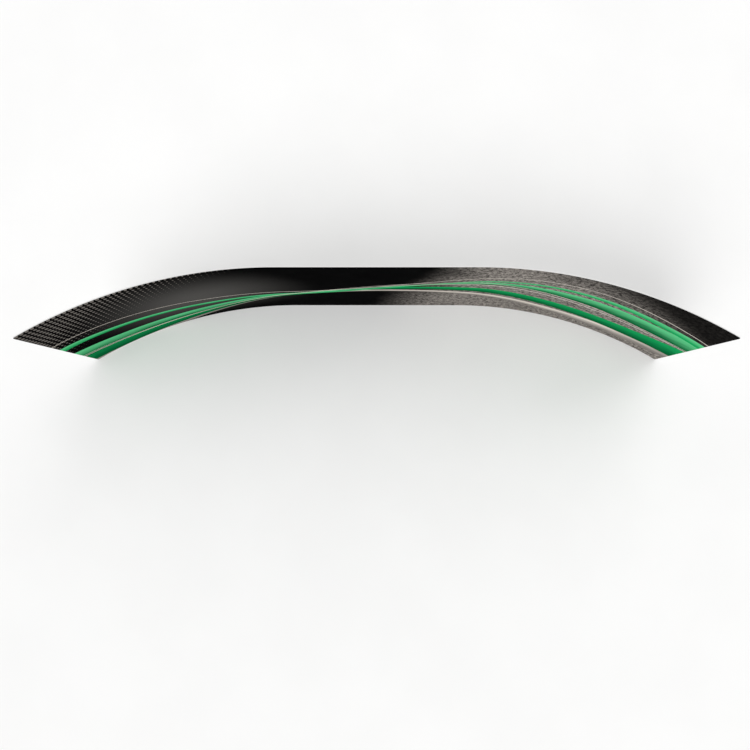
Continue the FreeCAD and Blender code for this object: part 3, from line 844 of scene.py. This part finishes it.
class Wiring:
    """Adds nodes to a tree; an input may be a socket, which is linked, or a plain value."""

    def __init__(self, tree):
        self.tree = tree

    def add(self, kind, inputs=None, **settings):
        node = self.tree.nodes.new(kind)
        node.location = (190 * (len(self.tree.nodes) % 12), -230 * (len(self.tree.nodes) // 12))
        for key, value in settings.items():
            setattr(node, key, value)
        for key, value in (inputs or {}).items():
            if isinstance(value, bpy.types.NodeSocket):
                self.tree.links.new(value, node.inputs[key])
            else:
                node.inputs[key].default_value = value
        return node

    def math(self, operation, *values):
        return self.add("ShaderNodeMath", dict(enumerate(values)), operation=operation).outputs[0]

    def times(self, first, second):
        return self.math("MULTIPLY", first, second)

    def times_plus(self, first, second, third):
        """First times second, plus third."""
        return self.math("MULTIPLY_ADD", first, second, third)

    def plus(self, first, second):
        return self.math("ADD", first, second)

    def minus(self, first, second):
        return self.math("SUBTRACT", first, second)

    def sine(self, value):
        return self.math("SINE", value)

    def vector(self, operation, *values):
        return self.add("ShaderNodeVectorMath", dict(enumerate(values)), operation=operation).outputs[0]

    def smooth(self, value, low, high, start=0.0, end=1.0):
        """Smooth step of a value between two limits."""
        node = self.add("ShaderNodeMapRange",
                        {"Value": value, "From Min": low, "From Max": high, "To Min": start, "To Max": end},
                        interpolation_type="SMOOTHSTEP")
        return node.outputs["Result"]

    def mix(self, share, first, second, blend="MIX"):
        """Colour between two; plain colours may have three parts."""
        first, second = (value if isinstance(value, bpy.types.NodeSocket) else (*tuple(value)[:3], 1.0)
                         for value in (first, second))
        node = self.add("ShaderNodeMix", {0: share, 6: first, 7: second}, data_type="RGBA", blend_type=blend)
        return node.outputs[2]

    def noise(self, place, scale, detail=2.0, roughness=0.5):
        node = self.add("ShaderNodeTexNoise", {"Vector": place, "Scale": scale, "Detail": detail,
                                               "Roughness": roughness})
        return node.outputs["Fac"]

    def group(self, tree, **inputs):
        return self.add("ShaderNodeGroup", inputs, node_tree=tree)


def new_group(name, inputs, outputs):
    """Empty node group that takes a place and numbers, given with their defaults, and yields numbers."""
    tree = bpy.data.node_groups.new(name, "ShaderNodeTree")
    tree.interface.new_socket(name="Place", in_out="INPUT", socket_type="NodeSocketVector")
    for label, default in inputs.items():
        socket = tree.interface.new_socket(name=label, in_out="INPUT", socket_type="NodeSocketFloat")
        socket.default_value = default
    for label in outputs:
        tree.interface.new_socket(name=label, in_out="OUTPUT", socket_type="NodeSocketFloat")
    wires = Wiring(tree)
    return wires, wires.add("NodeGroupInput").outputs, wires.add("NodeGroupOutput")


def knit_group():
    """Stretch knit: columns of small loops, with the height for a bump and a slight change of shade."""
    if "Stretch Knit" in bpy.data.node_groups:
        return bpy.data.node_groups["Stretch Knit"]
    wires, given, out = new_group("Stretch Knit", {"Loop": KNIT_LOOP}, ("Height", "Shade", "Cloud"))
    apart = wires.add("ShaderNodeSeparateXYZ", {0: given["Place"]}).outputs
    turn = wires.math("DIVIDE", 2 * math.pi, given["Loop"])
    column = wires.sine(wires.times(apart["X"], turn))
    lean = wires.times(column, 1.1)
    rise = wires.times(apart["Y"], wires.times(turn, 0.8))
    course = wires.sine(wires.plus(rise, lean))
    height = wires.times_plus(wires.math("ABSOLUTE", column), 0.6, wires.times(course, 0.4))
    cloud = wires.noise(given["Place"], 3.5, 3.0)
    fleck = wires.noise(given["Place"], 420.0, 1.0)
    link(wires, height, out, "Height")
    link(wires, wires.smooth(fleck, 0.3, 0.7, 0.975, 1.025), out, "Shade")
    link(wires, cloud, out, "Cloud")
    return wires.tree


def ribbon_group():
    """Printed ribbon that swings along the wall: its mask, and the place across it from 0 to 1."""
    if "Printed Ribbon" in bpy.data.node_groups:
        return bpy.data.node_groups["Printed Ribbon"]
    wires, given, out = new_group("Printed Ribbon", RIBBON, ("Mask", "Across"))
    apart = wires.add("ShaderNodeSeparateXYZ", {0: given["Place"]}).outputs
    run = wires.math("DIVIDE", wires.times(apart["X"], 2 * math.pi), given["Length"])
    swing = wires.times(wires.sine(wires.plus(run, given["Phase"])), given["Swing"])
    middle = wires.plus(wires.times_plus(apart["X"], given["Slope"], given["Height"]), swing)
    twist = wires.sine(wires.times_plus(run, 1.37, wires.times(given["Phase"], 2.1)))
    narrow = wires.times(given["Pinch"], wires.times_plus(twist, 0.5, 0.5))
    slim = wires.times(given["Width"], wires.minus(1.0, narrow))
    half = wires.times_plus(wires.times(apart["X"], apart["X"]), given["Fan"], slim)
    off = wires.math("DIVIDE", wires.minus(apart["Y"], middle), half)
    edge = wires.minus(1.0, given["Softness"])
    mask = wires.smooth(wires.math("ABSOLUTE", off), edge, 1.0, 1.0, 0.0)
    link(wires, mask, out, "Mask")
    link(wires, wires.times_plus(off, 0.5, 0.5), out, "Across")
    return wires.tree


def grain_group():
    """Fine grain of a hard finish: a height for a bump and a mask of slightly worn, smoother patches."""
    if "Fine Grain" in bpy.data.node_groups:
        return bpy.data.node_groups["Fine Grain"]
    wires, given, out = new_group("Fine Grain", {"Scale": 900.0, "Patch": 40.0}, ("Height", "Worn"))
    link(wires, wires.noise(given["Place"], given["Scale"], 2.0), out, "Height")
    patches = wires.noise(given["Place"], given["Patch"], 3.0)
    link(wires, wires.smooth(patches, 0.45, 0.75), out, "Worn")
    return wires.tree


def new_material(name):
    """Material with a Principled shader: its wiring and the shader."""
    material = bpy.data.materials.new(name)
    material.use_nodes = True
    shader = material.node_tree.nodes["Principled BSDF"]
    shader.location = (2600, 0)
    material.node_tree.nodes["Material Output"].location = (2900, 0)
    return material, Wiring(material.node_tree), shader


def link(wires, source, node, name):
    wires.tree.links.new(source, node.inputs[name])


def toned(base, share):
    return [share * part for part in base]


def bump(wires, height, shader, strength, distance):
    node = wires.add("ShaderNodeBump", {"Height": height, "Strength": strength, "Distance": distance})
    link(wires, node.outputs["Normal"], shader, "Normal")


def cut_place(wires):
    return wires.add("ShaderNodeUVMap", uv_map="Cut").outputs["UV"]


def object_place(wires):
    return wires.add("ShaderNodeTexCoord").outputs["Object"]


def knit_finish(wires, shader, place, base, rough):
    """Knit bump, shade and roughness over a base colour."""
    knit = wires.group(knit_group(), Place=place).outputs
    shaded = wires.add("ShaderNodeHueSaturation", {"Value": knit["Shade"], "Color": base}).outputs["Color"]
    link(wires, shaded, shader, "Base Color")
    link(wires, wires.smooth(knit["Cloud"], 0.2, 0.8, rough - 0.06, rough + 0.06), shader, "Roughness")
    bump(wires, knit["Height"], shader, 0.22, 0.3 * MM)


def printed_cloth(colours):
    """Front of the cover: satin ribbons and thin lines over a dark ground and a speckled field."""
    material, wires, shader = new_material("Printed stretch knit")
    place = cut_place(wires)
    apart = wires.add("ShaderNodeSeparateXYZ", {0: place}).outputs
    u, v = apart["X"], apart["Y"]

    # ground with a soft glow on the left wing
    glow = wires.vector("MULTIPLY", wires.vector("SUBTRACT", place, (-2.55, 1.25, 0)), (0.55, 0.8, 0))
    far = wires.add("ShaderNodeVectorMath", {0: glow}, operation="LENGTH").outputs["Value"]
    picture = wires.mix(wires.smooth(far, 0.0, 1.0, 0.9, 0.0), colours.ground, colours.halo)

    # dots that grow towards the upper corner of the left wing
    shifted = wires.vector("ADD", place, (0.021, 0.017, 0))
    dots = wires.add("ShaderNodeTexVoronoi", {"Vector": shifted, "Scale": 14.0, "Randomness": 0.0},
                     voronoi_dimensions="2D", feature="F1")
    reach = wires.times_plus(v, 0.3, wires.times_plus(u, -0.17, -0.95))
    size = wires.math("MINIMUM", wires.math("MAXIMUM", reach, 0.0), 0.34)
    dot = wires.smooth(wires.minus(dots.outputs["Distance"], size), -0.02, 0.02, 1.0, 0.0)
    dot = wires.times(dot, wires.smooth(size, 0.02, 0.06))
    picture = wires.mix(dot, picture, toned(colours.stone, 0.75))

    # speckled stone on the right half, fading into the ground
    drift = wires.times_plus(wires.noise(place, 1.3, 3.0), 0.8, u)
    field = wires.smooth(wires.times_plus(v, -0.35, drift), 0.15, 1.35)
    grains = wires.smooth(wires.noise(place, 18.0, 6.0, 0.9), 0.40, 0.60)
    stone = wires.mix(grains, toned(colours.stone, 0.15), toned(colours.stone, 1.9))
    tone = wires.smooth(wires.noise(place, 1.5, 3.0, 0.5), 0.45, 0.8)
    stone = wires.mix(wires.times(tone, 0.5), stone, colours.stone_dark)
    chips = wires.smooth(wires.noise(place, 150.0, 2.0, 0.6), 0.69, 0.72)
    stone = wires.mix(wires.times(chips, 0.55), stone, colours.chalk)
    corner = wires.times_plus(v, -0.30, wires.times(u, -0.17))
    stone = wires.mix(wires.smooth(corner, -1.32, -0.95, 0.04, 1.0), colours.ground, stone)
    picture = wires.mix(field, picture, stone)

    # ribbons, from the one at the back to the one in front, with their shaded and lit colours
    silk = wires.noise(wires.vector("MULTIPLY", place, (1.0, 6.0, 1.0)), 2.2, 3.0)
    for shape, dark, light in (
        ((0.66, 0.046, 0.45, 7.4, 1.58, 0.05, 0.55, 0.0105), colours.stone, colours.chalk),
        ((0.84, 0.055, 0.40, 7.4, 1.30, 0.09, 0.65, 0.0105), colours.deep_green, colours.emerald),
        ((1.08, 0.090, 0.34, 8.0, 0.62, 0.07, 0.65, 0.0080), colours.deep_green, colours.mint),
        ((1.27, 0.080, 0.30, 7.2, -0.15, 0.035, 0.50, 0.0028), colours.emerald, colours.mint),
    ):
        ribbon = wires.group(ribbon_group(), Place=place, **dict(zip(RIBBON, shape))).outputs
        lit = wires.times_plus(silk, 0.5, wires.times_plus(ribbon["Across"], 1.0, -0.28))
        sheen = wires.mix(wires.smooth(lit, 0.0, 1.0), dark, light)
        picture = wires.mix(ribbon["Mask"], picture, sheen)

    # thin chalk lines that follow the ribbons
    for shape in (
        (1.00, 0.085, 0.40, 7.7, 0.95, 0.011, 0.3),
        (1.05, 0.088, 0.43, 7.7, 0.88, 0.008, 0.3),
        (1.46, 0.075, 0.34, 7.0, -0.40, 0.009, 0.3),
    ):
        line = wires.group(ribbon_group(), Place=place, Softness=0.25, **dict(zip(RIBBON, shape))).outputs
        picture = wires.mix(wires.times(line["Mask"], 0.9), picture, colours.chalk)

    knit_finish(wires, shader, place, picture, 0.86)
    shader.inputs["Specular IOR Level"].default_value = 0.006
    return material


def white_cloth(colours):
    """Back of the cover: plain white knit with a faint cloudiness."""
    material, wires, shader = new_material("White stretch knit")
    place = cut_place(wires)
    cloud = wires.smooth(wires.noise(place, 1.7, 4.0), 0.25, 0.75)
    base = wires.mix(cloud, toned(colours.back_white, 0.955), colours.back_white)
    knit_finish(wires, shader, place, base, 0.86)
    shader.inputs["Specular IOR Level"].default_value = 0.15
    shader.inputs["Sheen Weight"].default_value = 0.06
    shader.inputs["Sheen Roughness"].default_value = 0.5
    return material


def tape_weave(colours):
    """Zip tape: a herringbone of fine yarns, with painted shade in the grooves between them."""
    material, wires, shader = new_material("Woven zip tape")
    place = cut_place(wires)
    apart = wires.add("ShaderNodeSeparateXYZ", {0: place}).outputs
    zigzag = wires.math("PINGPONG", apart["Y"], 1.5 * MM)
    run = wires.plus(apart["X"], zigzag)
    yarn = wires.sine(wires.times(run, 2 * math.pi / (0.7 * MM)))
    # painted shade: the colour follows the yarns' bump height, darker in the grooves and lighter on the
    # crests
    lit = wires.smooth(yarn, -1.0, 1.0)
    link(wires, wires.mix(lit, toned(colours.tape_white, 0.8), colours.tape_white), shader, "Base Color")
    link(wires, wires.smooth(wires.noise(place, 60.0), 0.3, 0.7, 0.7, 0.84), shader, "Roughness")
    bump(wires, yarn, shader, 0.35, 0.2 * MM)
    return material


def grained(name, fresh, worn, scale, patch, rough, relief, metallic=0.0):
    """Hard finish with a fine grain, and with patches of another colour and gloss: rough holds the roughness
    of the fresh and the worn finish, and relief the strength and depth of the grain."""
    material, wires, shader = new_material(name)
    grain = wires.group(grain_group(), Place=object_place(wires), Scale=scale, Patch=patch).outputs
    link(wires, wires.mix(grain["Worn"], fresh, worn), shader, "Base Color")
    link(wires, wires.smooth(grain["Worn"], 0.0, 1.0, *rough), shader, "Roughness")
    shader.inputs["Metallic"].default_value = metallic
    bump(wires, grain["Height"], shader, *relief)
    return material


def coil_nylon(colours):
    """Nylon of the coil: slightly glossy, with a faint unevenness."""
    return grained("Coil nylon", colours.tape_white, toned(colours.tape_white, 0.9),
                   2500.0, 35.0, (0.42, 0.32), (0.1, 0.1 * MM))


def plated_nickel(colours):
    """Nickel plate of the sliders, pulls and stops: bright, with duller patches."""
    return grained("Plated nickel", colours.nickel, toned(colours.nickel, 0.82),
                   1800.0, 220.0, (0.2, 0.34), (0.06, 0.05 * MM), metallic=1.0)


def anodised_tube(colours):
    """Satin anodised aluminium with handling marks."""
    return grained("Anodised aluminium", colours.aluminium, toned(colours.aluminium, 0.88),
                   1400.0, 26.0, (0.36, 0.46), (0.08, 0.1 * MM), metallic=1.0)


def moulded_nylon(colours):
    """Black moulded nylon with a spark-eroded grain."""
    return grained("Moulded nylon", colours.nylon, toned(colours.nylon, 2.2),
                   1600.0, 60.0, (0.55, 0.42), (0.3, 0.2 * MM))


def spring_steel(colours):
    """Steel of the snap buttons and leaf springs, a little blued in patches."""
    blued = [colours.steel[0] * 0.8, colours.steel[1] * 0.83, colours.steel[2] * 0.9]
    return grained("Spring steel", colours.steel, blued,
                   1900.0, 150.0, (0.26, 0.38), (0.06, 0.05 * MM), metallic=1.0)


def thread(name, base):
    """Sewing thread with a fine twist."""
    material, wires, shader = new_material(name)
    twist = wires.noise(object_place(wires), 2400.0, 1.0)
    link(wires, wires.mix(wires.smooth(twist, 0.3, 0.7), toned(base, 0.7), base), shader, "Base Color")
    link(wires, wires.smooth(twist, 0.3, 0.7, 0.55, 0.75), shader, "Roughness")
    return material


def dark_thread(colours):
    return thread("Dark thread", [0.02 + part for part in colours.ground])


def pale_thread(colours):
    return thread("Pale thread", colours.back_white)


def braided_cord(colours):
    """Braided sheath with pale tracer yarns, and painted shade in the grooves between its strands."""
    material, wires, shader = new_material("Braided sheath")
    place = cut_place(wires)
    apart = wires.add("ShaderNodeSeparateXYZ", {0: place}).outputs
    run = wires.times(apart["X"], 2 * math.pi / (9 * MM))
    left = wires.sine(wires.times_plus(apart["Y"], 4.0, wires.times(run, 4.0)))
    right = wires.sine(wires.times_plus(apart["Y"], 4.0, wires.times(run, -4.0)))
    braid = wires.math("MAXIMUM", left, right)
    tracer = wires.math("GREATER_THAN", wires.sine(wires.plus(apart["Y"], run)), 0.93)
    # painted shade: the sheath is darker where the braid's bump height is low, between the strands
    shaded = wires.mix(wires.smooth(braid, -0.2, 1.0), toned(colours.cord_sheath, 0.4), colours.cord_sheath)
    link(wires, wires.mix(wires.times(tracer, 0.6), shaded, colours.chalk), shader, "Base Color")
    link(wires, wires.smooth(braid, -1.0, 1.0, 0.85, 0.65), shader, "Roughness")
    bump(wires, braid, shader, 0.5, 0.4 * MM)
    return material


# Stage

class FABRICWALL_OT_stage(Operator):
    """Lay a pale floor, set soft studio light and put the camera high above the front"""
    bl_idname = "fabric_wall.stage"
    bl_label = "Floor, Light and Camera"

    def execute(self, context):
        scene = context.scene
        stage = scene.wall_stage
        deselect()
        bpy.ops.mesh.primitive_plane_add(size=FLOOR_SIZE, location=(0, 0, -FLOOR_DROP))
        floor = context.object
        floor.name = "studio_floor"
        floor.data.materials.append(self.floor_finish(stage))
        lights = (("key_light", stage.key, 40, (-4, -7, 9)), ("fill_light", stage.fill, 60, (6, 8, 7)))
        for name, strength, spread, place in lights:
            deselect()
            bpy.ops.object.light_add(type="SUN", location=place)
            light = context.object
            light.name = name
            light.data.energy = strength
            light.data.angle = math.radians(spread)
            light.rotation_euler = (-light.location).to_track_quat("-Z", "Y").to_euler()
        self.surround(scene, stage)
        deselect()
        place = (0, scene.wall_sizes.line_y - stage.camera_ahead, stage.camera_height)
        bpy.ops.object.camera_add(location=place, rotation=(stage.camera_tilt, 0, 0))
        camera = context.object
        camera.data.sensor_width = 36
        camera.data.lens = stage.lens
        camera.data.shift_x = stage.camera_shift
        scene.camera = camera
        scene.view_settings.view_transform = "Standard"
        return {"FINISHED"}

    @staticmethod
    def floor_finish(stage):
        """Pale floor with a faint cloudiness."""
        material, wires, shader = new_material("Studio floor")
        cloud = wires.smooth(wires.noise(object_place(wires), 0.6, 3.0), 0.3, 0.7)
        base = wires.mix(cloud, toned(stage.floor_colour, 0.98), stage.floor_colour)
        link(wires, base, shader, "Base Color")
        shader.inputs["Roughness"].default_value = 0.85
        shader.inputs["Specular IOR Level"].default_value = 0.1
        return material

    @staticmethod
    def surround(scene, stage):
        """Grey light from all round, seen as white by the camera and in reflections."""
        world = scene.world or bpy.data.worlds.new("World")
        scene.world = world
        world.use_nodes = True
        wires = Wiring(world.node_tree)
        background = world.node_tree.nodes["Background"]
        path = wires.add("ShaderNodeLightPath").outputs
        seen = wires.math("MAXIMUM", wires.math("MAXIMUM", path["Is Camera Ray"], path["Is Glossy Ray"]),
                          path["Is Transmission Ray"])
        background.inputs["Color"].default_value = (1, 1, 1, 1)
        strength = wires.times_plus(seen, SURROUND_SEEN - stage.ambient, stage.ambient)
        link(wires, strength, background, "Strength")


# Panel and registration

PIECES = (
    FABRICWALL_OT_front_panel,
    FABRICWALL_OT_back_panel,
    FABRICWALL_OT_zip_tapes,
    FABRICWALL_OT_zip_coil,
    FABRICWALL_OT_hem_stitches,
    FABRICWALL_OT_zip_metal,
    FABRICWALL_OT_shock_cords,
    FABRICWALL_OT_snap_joints,
    FABRICWALL_OT_frame_finishes,
    FABRICWALL_OT_stage,
)
SETTINGS = {
    "wall_sizes": WallSizes,
    "zip_sizes": ZipSizes,
    "wall_colours": WallColours,
    "wall_stage": StageSettings,
}


class FABRICWALL_PT_panel(Panel):
    """Pieces of the wall, in the order in which they are made"""
    bl_idname = "FABRICWALL_PT_panel"
    bl_label = "Fabric Wall"
    bl_space_type = "VIEW_3D"
    bl_region_type = "UI"
    bl_category = "Fabric Wall"

    def draw(self, context):
        for piece in PIECES:
            self.layout.operator(piece.bl_idname)
        for name in SETTINGS:
            box = self.layout.box()
            for key in SETTINGS[name].__annotations__:
                box.prop(getattr(context.scene, name), key)


def register():
    for name, group in SETTINGS.items():
        bpy.utils.register_class(group)
        setattr(bpy.types.Scene, name, PointerProperty(type=group))
    for cls in (*PIECES, FABRICWALL_PT_panel):
        bpy.utils.register_class(cls)


def unregister():
    for cls in reversed((*PIECES, FABRICWALL_PT_panel)):
        bpy.utils.unregister_class(cls)
    for name, group in reversed(SETTINGS.items()):
        delattr(bpy.types.Scene, name)
        bpy.utils.unregister_class(group)


def main():
    register()
    bpy.ops.fabric_wall.front_panel()
    bpy.ops.fabric_wall.back_panel()
    bpy.ops.fabric_wall.zip_tapes()
    bpy.ops.fabric_wall.zip_coil()
    bpy.ops.fabric_wall.hem_stitches()
    bpy.ops.fabric_wall.zip_metal()
    bpy.ops.fabric_wall.shock_cords()
    bpy.ops.fabric_wall.snap_joints()
    bpy.ops.fabric_wall.frame_finishes()
    bpy.ops.fabric_wall.stage()


if __name__ == "__main__":
    main()
